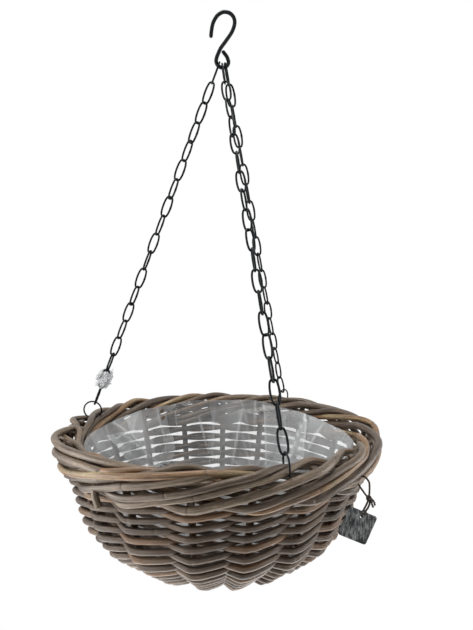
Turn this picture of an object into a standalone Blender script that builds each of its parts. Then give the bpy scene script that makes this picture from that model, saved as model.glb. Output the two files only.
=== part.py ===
"""Hanging rattan planter: a woven bowl with a rolled border, a clear film liner, three link chains on
rim rings, and an open hook with a closed eye. Lengths are in metres, +Z is up, and the origin is the
point inside the crown of the hook where the planter is held."""

from math import atan2, cos, degrees, pi, radians, sin, sqrt

import bmesh
import bpy
from mathutils import Matrix, Vector

# Clearance between solids that touch on the real planter, and how far tools overrun what they cut
GAP = 0.0003
CUT_OVERRUN = 0.002
WELD_DISTANCE = 0.000002

# How tubes are rounded: one step gives six sides and two give eight
ROD_BEVEL_STEPS = 1
WIRE_BEVEL_STEPS = 2

# Bowl and border
RIM_RADIUS = 0.175
BOWL_DEPTH = 0.128
STAKE_DIAMETER = 0.007
WEAVER_DIAMETER = 0.0075
BORDER_DIAMETER = 0.0095
BORDER_SEAT = 0.0008
BORDER_STEP = 0.0138
BORDER_HUMP = 0.0020
STAKE_TOP_HEIGHT = 0.010
WALL_ROWS = 12
WALL_ROW_START = 0.0115
WALL_ROW_END = 0.0095
WALL_BEND_HALF = 0.0036
ROW_SEAT = 0.0005

# Base: where its rows lie and its rods fan out, as shares of the stakes' radius at the rim
BASE_WEAVER_DIAMETER = 0.0052
BASE_ROW_SHARES = (0.456805469, 0.379117464)
BASE_BEND_HALF = 0.0028
TIE_ROW_SHARE = 0.298321939
FAN_SHARE = 0.282784338
SLATH_GAP = 0.0008

# Liner, with the waves of its folds and of its cut edge round it: how many, and where each starts
LINER_THICKNESS = 0.0006
LINER_TOP_HEIGHT = 0.003
LINER_EDGE_WAVE = 0.005
LINER_FOLD = 0.0045
LINER_SIDES = 36
LINER_STEPS = 8
LINER_FOLD_WAVES = ((3, radians(40)), (8, 0.0), (13, radians(109)))
LINER_EDGE_WAVES = ((2, radians(23)), (5, radians(120)))
LINER_FINE_FOLD_SHARE = 0.5
LINER_FULL_FOLD_SHARE = 0.83
LINER_EDGE_SHARES = (0.6, 0.4)
LINER_EDGE_DROP_SHARE = 0.5

# Chains and rings
LINK_LENGTH = 0.02503
LINK_WIDTH = 0.0106
LINK_WIRE = 0.0021
LINK_PLAY = 0.0003
EYE_PLAY = 0.0008
LINK_BITE = 0.0008
LINK_SHOULDER_SHARE = 0.85
LINKS_PER_RUN = (4, 3, 3, 3, 3, 3)
RING_DIAMETER = 0.0225
RING_WIRE = 0.0017
RING_POINTS = 12

# Hook: its depth is from the crown down to the centre of the eye, along the wire's centreline
HOOK_WIRE = 0.0041
HOOK_DEPTH = 0.0505
HOOK_HALF_WIDTH = 0.0115
HOOK_SIDE_STEP = 0.0024
EYE_RADIUS = 0.0065
EYE_WRAP = radians(112)
EYE_POINTS = 8

# Clear wrap on the left chain
WRAP_RADIUS = 0.0080
WRAP_LENGTH = 0.0200
WRAP_WALL = 0.0012
WRAP_LINK = 18
WRAP_SIDES = 10
WRAP_SHARES = ((-0.50, 0.84), (-0.34, 0.79), (-0.10, 1.08), (0.12, 1.00), (0.34, 0.79), (0.50, 0.88))

# Tag and its twine
TAG_WIDTH = 0.028
TAG_HEIGHT = 0.0285
TAG_THICKNESS = 0.0012
TAG_CORNER = 0.0022
TAG_CORNER_STEPS = 3
TAG_HOLE_RADIUS = 0.0017
TAG_HOLE_SIDES = 16
TAG_HOLE_MARGIN = 0.0050
TAG_TILT = radians(22.5)
TWINE_DIAMETER = 0.0018
TWINE_POINT_STEP = 0.0037
TWINE_STEPS = 4

# Stakes by azimuth in degrees, where -90 is the front: the ends of five rods over four, as laid out by hand
ROD_ENDS_ACROSS = ((-40, 220), (-20, 201), (2, 184.5), (25, 168.5), (48.5, 148.5))
ROD_ENDS_ALONG = ((128.5, -121.5), (108, -99), (88.5, -79.5), (69.5, -59))

# The stakes on either side of each chain's rim ring, where its top link hangs round the eye from the
# eye's lowest point, and how far its ring is turned from square to the rim
CHAINS = {
    "left": ((148.5, 168.5), -40.0, 20.0),
    "front": ((-79.5, -59), 3.0, -12.0),
    "back": ((48.5, 69.5), 33.0, -12.0),
}

# How far each link but a chain's last two is turned from square to the wire of the eye, in degrees. The
# last two stand square to the ring
LINK_TURNS = {
    "left": (-7, 110, 55, 118, 37, 95, 27, 88, 20, 90, 10, 85, 25, 90, 25, 90, 8),
    "front": (0, 95, 40, 150, 80, 175, 90, 30, 120, 60, 175, 90, 15, 75, 125, 22, 92),
    "back": (0, 98, 12, 98, 5, 92, 0, 88, -5, 85, -8, 82, -12, 78, -16, 74, -20),
}

# Centreline of a stake from the middle of the base to the rim: shares of its rim radius and of the depth
# of the bowl
WALL_SHARES = (
    (0.00, 1.000),
    (0.12, 0.999),
    (0.24, 0.990),
    (0.478, 0.956),
    (0.632, 0.843),
    (0.790, 0.686),
    (0.867, 0.528),
    (0.908, 0.358),
    (0.953, 0.177),
    (0.990, 0.030),
    (1.000, -0.080),
)

WALL_STEPS = 12

# Where a rod's points lie along it from the fan to its top, closer in the bend of the wall
ROD_POINT_SHARES = (0.0, 0.14, 0.26, 0.38, 0.50, 0.65, 0.83, 1.0)

# Hook wire from its tip over the crown to the eye, then its tail from the far side of the eye: shares of
# the hook's half width, of its side step, and of its depth below the crown
HOOK_SHARES = (
    (-1.06, 0.00, 0.533),
    (-1.01, 0.00, 0.392),
    (-0.87, 0.00, 0.230),
    (-0.52, 0.00, 0.086),
    (-0.10, 0.00, 0.014),
    (0.235, 0.00, 0.000),
    (0.64, 0.00, 0.022),
    (0.99, 0.00, 0.100),
    (1.10, -0.12, 0.228),
    (0.86, -0.38, 0.405),
    (0.33, -0.66, 0.592),
    (-0.165, -0.84, 0.752),
    (-0.48, -0.96, 0.915),
)
HOOK_TAIL_SHARES = ((0.42, 1.00, 0.892), (0.22, 1.04, 0.830), (-0.02, 1.06, 0.765))
HOOK_STEPS = 2

# Twine from its knot behind the border rods, out between two of them, and down through the hole of the
# tag, measured from the centre of the rim
TWINE_ROUTE = (
    (0.1328, -0.0983, -0.0111),
    (0.1352, -0.1000, -0.0111),
    (0.1375, -0.1016, -0.0120),
    (0.1391, -0.1029, -0.0139),
    (0.1401, -0.1041, -0.0160),
    (0.1403, -0.1048, -0.0205),
    (0.1400, -0.1058, -0.0250),
    (0.1392, -0.1068, -0.0295),
    (0.1376, -0.1078, -0.0340),
    (0.1352, -0.1086, -0.0383),
    (0.1330, -0.1094, -0.0420),
    (0.1321, -0.1100, -0.0435),
    (0.1317, -0.1107, -0.0445),
    (0.1316, -0.1122, -0.0450),
    (0.1315, -0.1137, -0.0446),
)
TAG_HOLE = Vector(TWINE_ROUTE[-2])
TWINE_PIVOT = Vector(TWINE_ROUTE[0])

BORDER_OFFSET = STAKE_DIAMETER / 2 + GAP + BORDER_DIAMETER / 2 + BORDER_SEAT
STAKE_RIM_RADIUS = RIM_RADIUS - BORDER_DIAMETER / 2 - BORDER_OFFSET
WALL_OFFSET = STAKE_DIAMETER / 2 + GAP + WEAVER_DIAMETER / 2 - ROW_SEAT
BASE_OFFSET = STAKE_DIAMETER / 2 + GAP + BASE_WEAVER_DIAMETER / 2
LINK_END = LINK_LENGTH - LINK_WIRE
EYE_CLEAR = HOOK_WIRE / 2 + LINK_WIRE / 2 + EYE_PLAY
RING_CLEAR = RING_WIRE / 2 + LINK_WIRE / 2 + LINK_PLAY
RING_ARM = RING_DIAMETER / 2 - RING_WIRE / 2


def clear_scene():
    for obj in list(bpy.data.objects):
        bpy.data.objects.remove(obj)


def new_collection(name):
    collection = bpy.data.collections.new(name)
    bpy.context.scene.collection.children.link(collection)
    return collection


def new_material(name, colour, roughness, metallic=0.0, alpha=1.0):
    material = bpy.data.materials.new(name)
    material.use_nodes = True
    shader = material.node_tree.nodes["Principled BSDF"]
    shader.inputs["Base Color"].default_value = (*colour, 1.0)
    shader.inputs["Roughness"].default_value = roughness
    shader.inputs["Metallic"].default_value = metallic
    shader.inputs["Alpha"].default_value = alpha
    return material


clear_scene()
PARTS = new_collection("hanging_rattan_planter")
CUTTERS = new_collection("cutters")
RATTAN = new_material("rattan", (0.16, 0.105, 0.07), 0.62)
BORDER_RATTAN = new_material("border_rattan", (0.24, 0.17, 0.11), 0.55)
BLACK_WIRE = new_material("black_wire", (0.012, 0.013, 0.015), 0.38, 0.6)
CLEAR_FILM = new_material("clear_film", (0.72, 0.75, 0.77), 0.22, 0.0, 0.4)
DARK_TWINE = new_material("dark_twine", (0.05, 0.032, 0.022), 0.9)
TAG_METAL = new_material("tag_metal", (0.03, 0.03, 0.032), 0.45, 0.3)


def smooth_path(points, steps):
    """Points on a smooth curve through the given ones, with this many steps to each span."""
    path = []
    for i, (p1, p2) in enumerate(zip(points, points[1:])):
        p0 = points[i - 1] if i else p1 * 2 - p2
        p3 = points[i + 2] if i + 2 < len(points) else p2 * 2 - p1
        for k in range(steps):
            t = k / steps
            path.append(
                (p1 * 2 + (p2 - p0) * t + (p0 * 2 - p1 * 5 + p2 * 4 - p3) * t**2
                 + (p1 * 3 - p0 - p2 * 3 + p3) * t**3) / 2
            )
    return path + [points[-1].copy()]


def add_tube(name, points, diameter, material, closed=False, bevel_steps=ROD_BEVEL_STEPS):
    curve = bpy.data.curves.new(name, "CURVE")
    curve.dimensions = "3D"
    curve.bevel_depth = diameter / 2
    curve.bevel_resolution = bevel_steps
    curve.use_fill_caps = not closed
    spline = curve.splines.new("POLY")
    spline.points.add(len(points) - 1)
    for target, point in zip(spline.points, points):
        target.co = (*point, 1.0)
    spline.use_cyclic_u = closed
    curve.materials.append(material)
    obj = bpy.data.objects.new(name, curve)
    PARTS.objects.link(obj)
    return obj


def as_mesh(obj):
    """The same piece as a closed mesh, for joining and cutting."""
    bpy.context.view_layer.update()
    graph = bpy.context.evaluated_depsgraph_get()
    mesh = bpy.data.meshes.new_from_object(obj.evaluated_get(graph))
    shape = bmesh.new()
    shape.from_mesh(mesh)
    bmesh.ops.remove_doubles(shape, verts=shape.verts, dist=WELD_DISTANCE)
    bmesh.ops.recalc_face_normals(shape, faces=shape.faces)
    shape.to_mesh(mesh)
    shape.free()
    mesh.shade_smooth()
    name = obj.name
    placed = bpy.data.objects.new(name + "_mesh", mesh)
    placed.matrix_world = obj.matrix_world
    PARTS.objects.link(placed)
    bpy.data.objects.remove(obj)
    placed.name = name
    return placed


def combine(obj, other, operation):
    """Joins or cuts with another mesh, which then only serves as a tool."""
    modifier = obj.modifiers.new(operation.lower(), "BOOLEAN")
    modifier.operation = operation
    modifier.object = other
    modifier.solver = "EXACT"
    PARTS.objects.unlink(other)
    CUTTERS.objects.link(other)
    other.hide_render = True
    other.display_type = "WIRE"


# The wall line: a stake's centreline in its upright plane, measured along its length from the middle of
# the base, as radius and height over the rim plane


def lengths_along(line):
    reach = [0.0]
    for before, after in zip(line, line[1:]):
        reach.append(reach[-1] + (after - before).length)
    return reach


def reach_where(line, axis, value):
    """How far along the line its radius (axis 0) or height (axis 1) first comes to this value."""
    reach = lengths_along(line)
    for i, (before, after) in enumerate(zip(line, line[1:])):
        if before[axis] <= value <= after[axis]:
            share = (value - before[axis]) / (after[axis] - before[axis])
            return reach[i] + (reach[i + 1] - reach[i]) * share
    return reach[-1]


def place_along(line, distance, offset=0.0):
    """The point this far along the line and this far outside it."""
    reach = lengths_along(line)
    i = 0
    while i < len(reach) - 2 and reach[i + 1] < distance:
        i += 1
    along = (line[i + 1] - line[i]).normalized()
    return line[i] + along * (distance - reach[i]) + Vector((along.y, -along.x)) * offset


def wall_line():
    """The line that every stake follows, flat to the fan and then bent at the rod's points."""
    shares = [Vector((r * STAKE_RIM_RADIUS, -z * BOWL_DEPTH)) for r, z in WALL_SHARES]
    curve = smooth_path(shares, WALL_STEPS)
    fan = reach_where(curve, 0, FAN_SHARE * STAKE_RIM_RADIUS)
    top = reach_where(curve, 1, STAKE_TOP_HEIGHT)
    bends = [place_along(curve, fan + (top - fan) * share) for share in ROD_POINT_SHARES]
    return [curve[0]] + bends


LINE = wall_line()
TOP_REACH = lengths_along(LINE)[-1]
MID_REACH = TOP_REACH - BORDER_STEP
LOW_REACH = MID_REACH - BORDER_STEP
BASE_REACHES = [reach_where(LINE, 0, share * STAKE_RIM_RADIUS) for share in BASE_ROW_SHARES]
FIRST_ROW = LOW_REACH - WALL_ROW_START
ROW_STEP = (FIRST_ROW - BASE_REACHES[0] - WALL_ROW_END) / (WALL_ROWS - 1)

# Heights: the rings stand on the border, and the chains hang from the eye of the hook

RING_ROD = place_along(LINE, TOP_REACH + BORDER_HUMP)
RING_LIFT = RING_ARM * cos(pi / RING_POINTS) - RING_WIRE / 2 - GAP - BORDER_DIAMETER / 2
RING_CENTRE = RING_ROD + Vector((0.0, RING_LIFT))
LINK_COUNT = sum(LINKS_PER_RUN)
OPEN_JOINTS = len(LINKS_PER_RUN) - 1
FUSED_JOINTS = LINK_COUNT - 1 - OPEN_JOINTS
FUSED_PITCH = LINK_END - (LINK_WIRE - LINK_BITE)
OPEN_PITCH = LINK_END - (LINK_WIRE + LINK_PLAY)
CHAIN_LENGTH = (
    LINK_END + FUSED_JOINTS * FUSED_PITCH + OPEN_JOINTS * OPEN_PITCH - EYE_CLEAR - RING_CLEAR
)
CHAIN_DROP = RING_CENTRE.y + sqrt((CHAIN_LENGTH + RING_ARM) ** 2 - RING_CENTRE.x**2)
EYE_CENTRE = Vector((0.0, 0.0, HOOK_WIRE / 2 - HOOK_DEPTH))
RIM_Z = EYE_CENTRE.z - EYE_RADIUS - CHAIN_DROP
RIM_CENTRE = Vector((0.0, 0.0, RIM_Z))


def in_bowl(azimuth, reach, offset=0.0, shift=0.0):
    """A point of the bowl by azimuth, place on the wall line, distance outside it and shift round it."""
    place = place_along(LINE, reach, offset)
    outward = Vector((cos(azimuth), sin(azimuth), 0.0))
    sideways = Vector((-sin(azimuth), cos(azimuth), 0.0))
    return outward * place.x + sideways * shift + RIM_CENTRE + Vector((0.0, 0.0, place.y))


# Stakes: nine rods cross at the base, fan out, and turn up as eighteen stakes


def rod_half(azimuth, start, reaches):
    """One end of a rod, from the edge of the crossing out to its top."""
    return [start] + [in_bowl(azimuth, reach) for reach in reaches]


def add_rods():
    pitch = STAKE_DIAMETER + SLATH_GAP
    layer = (STAKE_DIAMETER + GAP) / 2
    reaches = lengths_along(LINE)[1:]
    base_z = RIM_Z - BOWL_DEPTH
    across_half = pitch * (len(ROD_ENDS_ALONG) - 1) / 2 + STAKE_DIAMETER
    along_half = pitch * (len(ROD_ENDS_ACROSS) - 1) / 2 + STAKE_DIAMETER
    for group, ends, half, lift in (
        ("across", ROD_ENDS_ACROSS, across_half, layer),
        ("along", ROD_ENDS_ALONG, along_half, -layer),
    ):
        for k, (first, second) in enumerate(ends):
            beside = (k - (len(ends) - 1) / 2) * pitch
            place = (
                (lambda run: Vector((run, beside, base_z + lift)))
                if group == "across"
                else (lambda run: Vector((beside, run, base_z + lift)))
            )
            near = rod_half(radians(first), place(half), reaches)
            far = rod_half(radians(second), place(-half), reaches)
            points = far[::-1] + near
            add_tube(f"stake_rod_{group}_{k + 1}", points, STAKE_DIAMETER, RATTAN)


# Weavers: each row passes outside one stake and inside the next, and the next row the other way


def stake_azimuths():
    ends = [end % 360 for pair in ROD_ENDS_ACROSS + ROD_ENDS_ALONG for end in pair]
    return [radians(end) for end in sorted(ends)]


STAKES = stake_azimuths()


def add_row(name, reach, diameter, offset, bend_half, sides):
    points = []
    for azimuth, side in zip(STAKES, sides):
        for shift in (-bend_half, bend_half):
            points.append(in_bowl(azimuth, reach, side * offset, shift))
    add_tube(name, points, diameter, RATTAN, closed=True)


def add_rows():
    for row in range(WALL_ROWS):
        sides = [1 if (i + row) % 2 else -1 for i in range(len(STAKES))]
        reach = FIRST_ROW - row * ROW_STEP
        add_row(f"wall_weaver_{row + 1:02d}", reach, WEAVER_DIAMETER, WALL_OFFSET, WALL_BEND_HALF, sides)
    for row, reach in enumerate(BASE_REACHES):
        sides = [1 if (i + row) % 2 else -1 for i in range(len(STAKES))]
        name = f"base_weaver_{row + 1}"
        add_row(name, reach, BASE_WEAVER_DIAMETER, BASE_OFFSET, BASE_BEND_HALF, sides)
    across = [end % 360 for pair in ROD_ENDS_ACROSS for end in pair]
    sides = [1 if round(degrees(azimuth), 3) in across else -1 for azimuth in STAKES]
    reach = reach_where(LINE, 0, TIE_ROW_SHARE * STAKE_RIM_RADIUS)
    add_row("base_tie", reach, BASE_WEAVER_DIAMETER, BASE_OFFSET, BASE_BEND_HALF, sides)


# Border: each rod climbs outside three stakes, crosses over the top, comes down inside three and
# passes out again under the border

BORDER_SLOTS = (
    (1, LOW_REACH),
    (1, MID_REACH),
    (1, TOP_REACH),
    (-1, TOP_REACH),
    (-1, MID_REACH),
    (-1, LOW_REACH),
)


def add_border():
    slots = len(BORDER_SLOTS)
    for rod in range(slots):
        points = []
        for i, azimuth in enumerate(STAKES):
            here, then = (i + rod) % slots, (i + rod + 1) % slots
            side, reach = BORDER_SLOTS[here]
            next_side, next_reach = BORDER_SLOTS[then]
            points.append(in_bowl(azimuth, reach, side * BORDER_OFFSET))
            turn = (STAKES[(i + 1) % len(STAKES)] - azimuth) % (2 * pi)
            hump = BORDER_HUMP if side > next_side else 0.0
            middle = in_bowl(
                azimuth + turn / 2, (reach + next_reach) / 2 + hump, (side + next_side) / 2 * BORDER_OFFSET
            )
            points.append(middle)
        add_tube(f"border_rod_{rod + 1}", points, BORDER_DIAMETER, BORDER_RATTAN, closed=True)


# Liner: a film bowl with upright folds and a wavy cut edge


def waves(azimuth, table):
    return [sin(count * azimuth + start) for count, start in table]


def liner_fold(azimuth):
    """How far the film stands in from the wall, as a share of the fold depth."""
    broad, narrow, fine = waves(azimuth, LINER_FOLD_WAVES)
    return max(0.0, broad * narrow + LINER_FINE_FOLD_SHARE * fine)


def liner_edge(azimuth):
    """How far the cut edge stands over its usual height, as a share of the edge's wave."""
    heights = [share * wave for share, wave in zip(LINER_EDGE_SHARES, waves(azimuth, LINER_EDGE_WAVES))]
    return sum(heights) - LINER_EDGE_DROP_SHARE


def add_liner():
    stand_off = BORDER_OFFSET + BORDER_DIAMETER / 2 + 2 * GAP + LINER_THICKNESS
    top = reach_where(LINE, 1, LINER_TOP_HEIGHT)
    shape = bmesh.new()
    rings = []
    for k in range(1, LINER_STEPS + 1):
        share = k / LINER_STEPS
        depth = LINER_FOLD * min(1.0, share / LINER_FULL_FOLD_SHARE)
        ring = []
        for j in range(LINER_SIDES):
            azimuth = 2 * pi * j / LINER_SIDES
            rise = LINER_EDGE_WAVE * liner_edge(azimuth) if k == LINER_STEPS else 0.0
            offset = -stand_off - depth * liner_fold(azimuth)
            ring.append(shape.verts.new(in_bowl(azimuth, top * share + rise, offset)))
        rings.append(ring)
    for lower, upper in zip(rings, rings[1:]):
        for j in range(LINER_SIDES):
            k = (j + 1) % LINER_SIDES
            shape.faces.new((lower[j], lower[k], upper[k], upper[j]))
    shape.faces.new(rings[0][::-1])
    bmesh.ops.recalc_face_normals(shape, faces=shape.faces)
    mesh = bpy.data.meshes.new("liner_film")
    shape.to_mesh(mesh)
    shape.free()
    mesh.materials.append(CLEAR_FILM)
    mesh.shade_smooth()
    obj = bpy.data.objects.new("liner_film", mesh)
    PARTS.objects.link(obj)
    solid = obj.modifiers.new("film", "SOLIDIFY")
    solid.thickness = LINER_THICKNESS
    solid.offset = 0.0


# Hook


def eye_point(angle):
    """The centre of the eye's wire, by angle from its lowest point towards the tail."""
    sway = HOOK_SIDE_STEP * angle / EYE_WRAP
    return EYE_CENTRE + Vector((EYE_RADIUS * sin(angle), sway, -EYE_RADIUS * cos(angle)))


def hook_point(share):
    x, y, down = share
    return Vector((x * HOOK_HALF_WIDTH, y * HOOK_SIDE_STEP, HOOK_WIRE / 2 - down * HOOK_DEPTH))


def add_hook():
    shank = smooth_path([hook_point(share) for share in HOOK_SHARES], HOOK_STEPS)
    eye = [eye_point(EYE_WRAP * (2 * k / EYE_POINTS - 1)) for k in range(EYE_POINTS + 1)]
    tail = [hook_point(share) for share in HOOK_TAIL_SHARES]
    add_tube("hook", shank + eye + tail, HOOK_WIRE, BLACK_WIRE, bevel_steps=WIRE_BEVEL_STEPS)


# Chains: threaded links, each turned from the one before, in runs that are joined where the links bear
# on each other


def link_outline():
    half_width = (LINK_WIDTH - LINK_WIRE) / 2
    half_length = LINK_END / 2
    shoulder = half_length - LINK_SHOULDER_SHARE * half_width
    quarter = [(half_width, shoulder), (half_width / 2, half_length)]
    top = quarter + [(-x, z) for x, z in quarter[::-1]]
    return [Vector((x, 0.0, z)) for x, z in top + [(-x, -z) for x, z in top]]


def ring_frame(azimuth, seat, turn):
    """Centre of a rim ring, the way it is pulled, and the ring's own axis."""
    centre = Vector((RING_CENTRE.x * cos(azimuth), RING_CENTRE.x * sin(azimuth), RIM_Z + RING_CENTRE.y))
    pull = (seat - centre).normalized()
    sideways = Vector((-sin(azimuth), cos(azimuth), 0.0))
    square = (sideways - pull * sideways.dot(pull)).normalized()
    return centre, pull, square * cos(turn) + pull.cross(square) * sin(turn)


def chain_frame(name):
    """The seat on the eye and the wire's direction there, then the ring's centre, pull and axis."""
    beside, hang, ring_turn = CHAINS[name]
    azimuth = radians(sum(beside) / 2)
    angle = radians(hang)
    seat = eye_point(angle)
    tangent = Vector((cos(angle), 0.0, sin(angle)))
    return seat, tangent, *ring_frame(azimuth, seat, radians(ring_turn))


def add_ring(name):
    _, _, centre, pull, axis = chain_frame(name)
    side = axis.cross(pull)
    points = []
    for k in range(RING_POINTS):
        angle = 2 * pi * k / RING_POINTS
        points.append(pull * (RING_ARM * cos(angle)) + side * (RING_ARM * sin(angle)))
    ring = add_tube(f"rim_ring_{name}", points, RING_WIRE, BLACK_WIRE, closed=True)
    ring.location = centre


def link_matrices(name):
    """Where each link lies, from the eye of the hook down to the rim ring."""
    seat, tangent, centre, pull, axis = chain_frame(name)
    down = -pull
    length = (centre - seat).length - RING_ARM
    spare = (length - CHAIN_LENGTH) / (OPEN_JOINTS + 2)
    first = down.cross(tangent).normalized()
    last = axis
    if first.dot(last) < 0:
        last = -last
    twist = atan2(first.cross(last).dot(down), first.dot(last))
    turns = [radians(turn) for turn in LINK_TURNS[name]] + [twist - pi / 2, twist]
    travelled = LINK_END / 2 - EYE_CLEAR + spare
    matrices = []
    index = 0
    for links in LINKS_PER_RUN:
        for k in range(links):
            width = first * cos(turns[index]) + down.cross(first) * sin(turns[index])
            across = width.cross(-down)
            spin = Matrix((width, -across, -down)).transposed()
            matrices.append(Matrix.Translation(seat + down * travelled) @ spin.to_4x4())
            index += 1
            travelled += OPEN_PITCH + spare if k == links - 1 else FUSED_PITCH
    return matrices


def add_chain(name):
    outline = link_outline()
    matrices = link_matrices(name)
    index = 0
    for run, links in enumerate(LINKS_PER_RUN):
        pieces = []
        for k in range(links):
            label = f"chain_{name}_run_{run + 1}" if k == 0 else f"chain_{name}_link_{index + 1}"
            tube = add_tube(label, outline, LINK_WIRE, BLACK_WIRE, closed=True)
            tube.matrix_world = matrices[index]
            pieces.append(as_mesh(tube))
            index += 1
        for other in pieces[1:]:
            combine(pieces[0], other, "UNION")


# Clear wrap: a crumpled sleeve round one link


def add_wrap():
    mesh = bpy.data.meshes.new("chain_wrap")
    shape = bmesh.new()
    verts = [
        shape.verts.new((WRAP_RADIUS * out, 0.0, -WRAP_LENGTH * along)) for along, out in WRAP_SHARES
    ]
    for before, after in zip(verts, verts[1:]):
        shape.edges.new((before, after))
    shape.to_mesh(mesh)
    shape.free()
    mesh.materials.append(CLEAR_FILM)
    obj = bpy.data.objects.new("chain_wrap", mesh)
    PARTS.objects.link(obj)
    obj.matrix_world = link_matrices("left")[WRAP_LINK - 1]
    turn = obj.modifiers.new("turn", "SCREW")
    turn.steps = WRAP_SIDES
    turn.render_steps = WRAP_SIDES
    turn.use_merge_vertices = True
    turn.merge_threshold = WELD_DISTANCE
    wall = obj.modifiers.new("wall", "SOLIDIFY")
    wall.thickness = WRAP_WALL
    wall.offset = 0.0


# Tag and twine


def add_tag():
    bpy.ops.mesh.primitive_cube_add(size=1.0)
    tag = bpy.context.object
    tag.name = "tag_plate"
    tag.data.name = "tag_plate"
    move_to_parts(tag)
    tag.data.transform(Matrix.Diagonal((TAG_WIDTH, TAG_THICKNESS, TAG_HEIGHT, 1.0)))
    hole_drop = TAG_HEIGHT / 2 - TAG_HOLE_MARGIN
    tag.data.transform(Matrix.Translation((0.0, 0.0, -hole_drop)))
    tag.data.materials.append(TAG_METAL)
    corners = tag.modifiers.new("corners", "BEVEL")
    corners.affect = "EDGES"
    corners.limit_method = "WEIGHT"
    corners.width = TAG_CORNER
    corners.segments = TAG_CORNER_STEPS
    weights = tag.data.attributes.new("bevel_weight_edge", "FLOAT", "EDGE")
    for edge, weight in zip(tag.data.edges, weights.data):
        first, second = (tag.data.vertices[i].co for i in edge.vertices)
        weight.value = 1.0 if abs(first.y - second.y) > TAG_THICKNESS / 2 else 0.0
    place = Matrix.Translation(RIM_CENTRE + TAG_HOLE)
    tag.matrix_world = place @ Matrix.Rotation(TAG_TILT, 4, "Y")
    bpy.ops.mesh.primitive_cylinder_add(
        vertices=TAG_HOLE_SIDES, radius=TAG_HOLE_RADIUS, depth=TAG_THICKNESS + 2 * CUT_OVERRUN
    )
    drill = bpy.context.object
    drill.name = "tag_hole_cutter"
    move_to_parts(drill)
    drill.matrix_world = place @ Matrix.Rotation(pi / 2, 4, "X")
    combine(tag, drill, "DIFFERENCE")


def move_to_parts(obj):
    for collection in obj.users_collection:
        collection.objects.unlink(obj)
    PARTS.objects.link(obj)


def add_twine():
    """The tube is read at even steps from the smooth curve through the route."""
    curve = smooth_path([RIM_CENTRE + Vector(point) for point in TWINE_ROUTE], TWINE_STEPS)
    reach = lengths_along(curve)
    count = round(reach[-1] / TWINE_POINT_STEP)
    points = []
    for k in range(count + 1):
        target = reach[-1] * k / count
        i = max(j for j in range(len(reach)) if reach[j] <= target + GAP)
        points.append(curve[i])
    add_tube("tag_twine", points, TWINE_DIAMETER, DARK_TWINE, bevel_steps=WIRE_BEVEL_STEPS)


# Pivots: an empty on each joint's axis carries the pieces that move about it


def add_pivot(name, place, pieces):
    pivot = bpy.data.objects.new(name, None)
    pivot.location = place
    PARTS.objects.link(pivot)
    bpy.context.view_layer.update()
    for piece in pieces:
        piece.parent = pivot
        piece.matrix_parent_inverse = pivot.matrix_world.inverted()
    return pivot


def add_pivots():
    pieces = {obj.name: obj for obj in PARTS.objects}
    carried = []
    for name in CHAINS:
        seat, _, centre, _, _ = chain_frame(name)
        turning = [pieces.pop(f"chain_{name}_run_{run}") for run in range(2, len(LINKS_PER_RUN))]
        carried.append(add_pivot(f"pivot_chain_{name}", (seat + centre) / 2, turning))
    hanging = [pieces.pop("tag_plate"), pieces.pop("tag_twine")]
    carried.append(add_pivot("pivot_tag", RIM_CENTRE + TWINE_PIVOT, hanging))
    pieces.pop("hook")
    add_pivot("pivot_basket", EYE_CENTRE - Vector((0.0, 0.0, EYE_RADIUS)), carried + list(pieces.values()))


add_hook()
for chain in CHAINS:
    add_chain(chain)
    add_ring(chain)
add_wrap()
add_rods()
add_rows()
add_border()
add_liner()
add_tag()
add_twine()
add_pivots()
print(f"rim plane at z = {RIM_Z * 1000:.1f} mm, eye {CHAIN_DROP * 1000:.1f} mm above it")
for chain in CHAINS:
    seat, _, centre, pull, axis = chain_frame(chain)
    print(f"chain_{chain}: from {tuple(seat)} to ring at {tuple(centre)}, ring axis {tuple(axis)}")
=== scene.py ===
"""Looks of the hanging rattan planter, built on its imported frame. Metres, +Z up."""

from math import atan2, cos, exp, pi, radians, sin

import bpy
import numpy as np
from mathutils import Matrix, Vector


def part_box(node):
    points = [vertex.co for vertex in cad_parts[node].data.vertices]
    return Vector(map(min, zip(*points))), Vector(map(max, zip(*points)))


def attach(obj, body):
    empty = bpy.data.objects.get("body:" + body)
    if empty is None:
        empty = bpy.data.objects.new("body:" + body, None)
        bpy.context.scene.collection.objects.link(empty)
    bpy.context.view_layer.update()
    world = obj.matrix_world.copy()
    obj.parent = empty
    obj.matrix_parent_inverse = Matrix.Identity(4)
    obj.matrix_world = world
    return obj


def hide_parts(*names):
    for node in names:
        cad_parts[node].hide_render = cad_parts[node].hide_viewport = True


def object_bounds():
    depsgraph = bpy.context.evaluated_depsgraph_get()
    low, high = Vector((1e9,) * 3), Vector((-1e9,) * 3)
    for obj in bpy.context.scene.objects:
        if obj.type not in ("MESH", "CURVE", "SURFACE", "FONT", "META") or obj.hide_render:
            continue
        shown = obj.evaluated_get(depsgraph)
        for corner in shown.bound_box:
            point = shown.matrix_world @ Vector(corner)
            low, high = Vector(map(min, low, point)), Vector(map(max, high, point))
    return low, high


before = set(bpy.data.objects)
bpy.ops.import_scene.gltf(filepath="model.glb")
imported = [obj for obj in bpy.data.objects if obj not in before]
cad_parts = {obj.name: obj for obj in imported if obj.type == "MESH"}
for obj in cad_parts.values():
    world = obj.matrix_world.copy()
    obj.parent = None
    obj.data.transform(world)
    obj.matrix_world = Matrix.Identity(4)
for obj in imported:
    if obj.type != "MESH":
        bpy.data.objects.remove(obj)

CAD_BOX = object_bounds()

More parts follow.
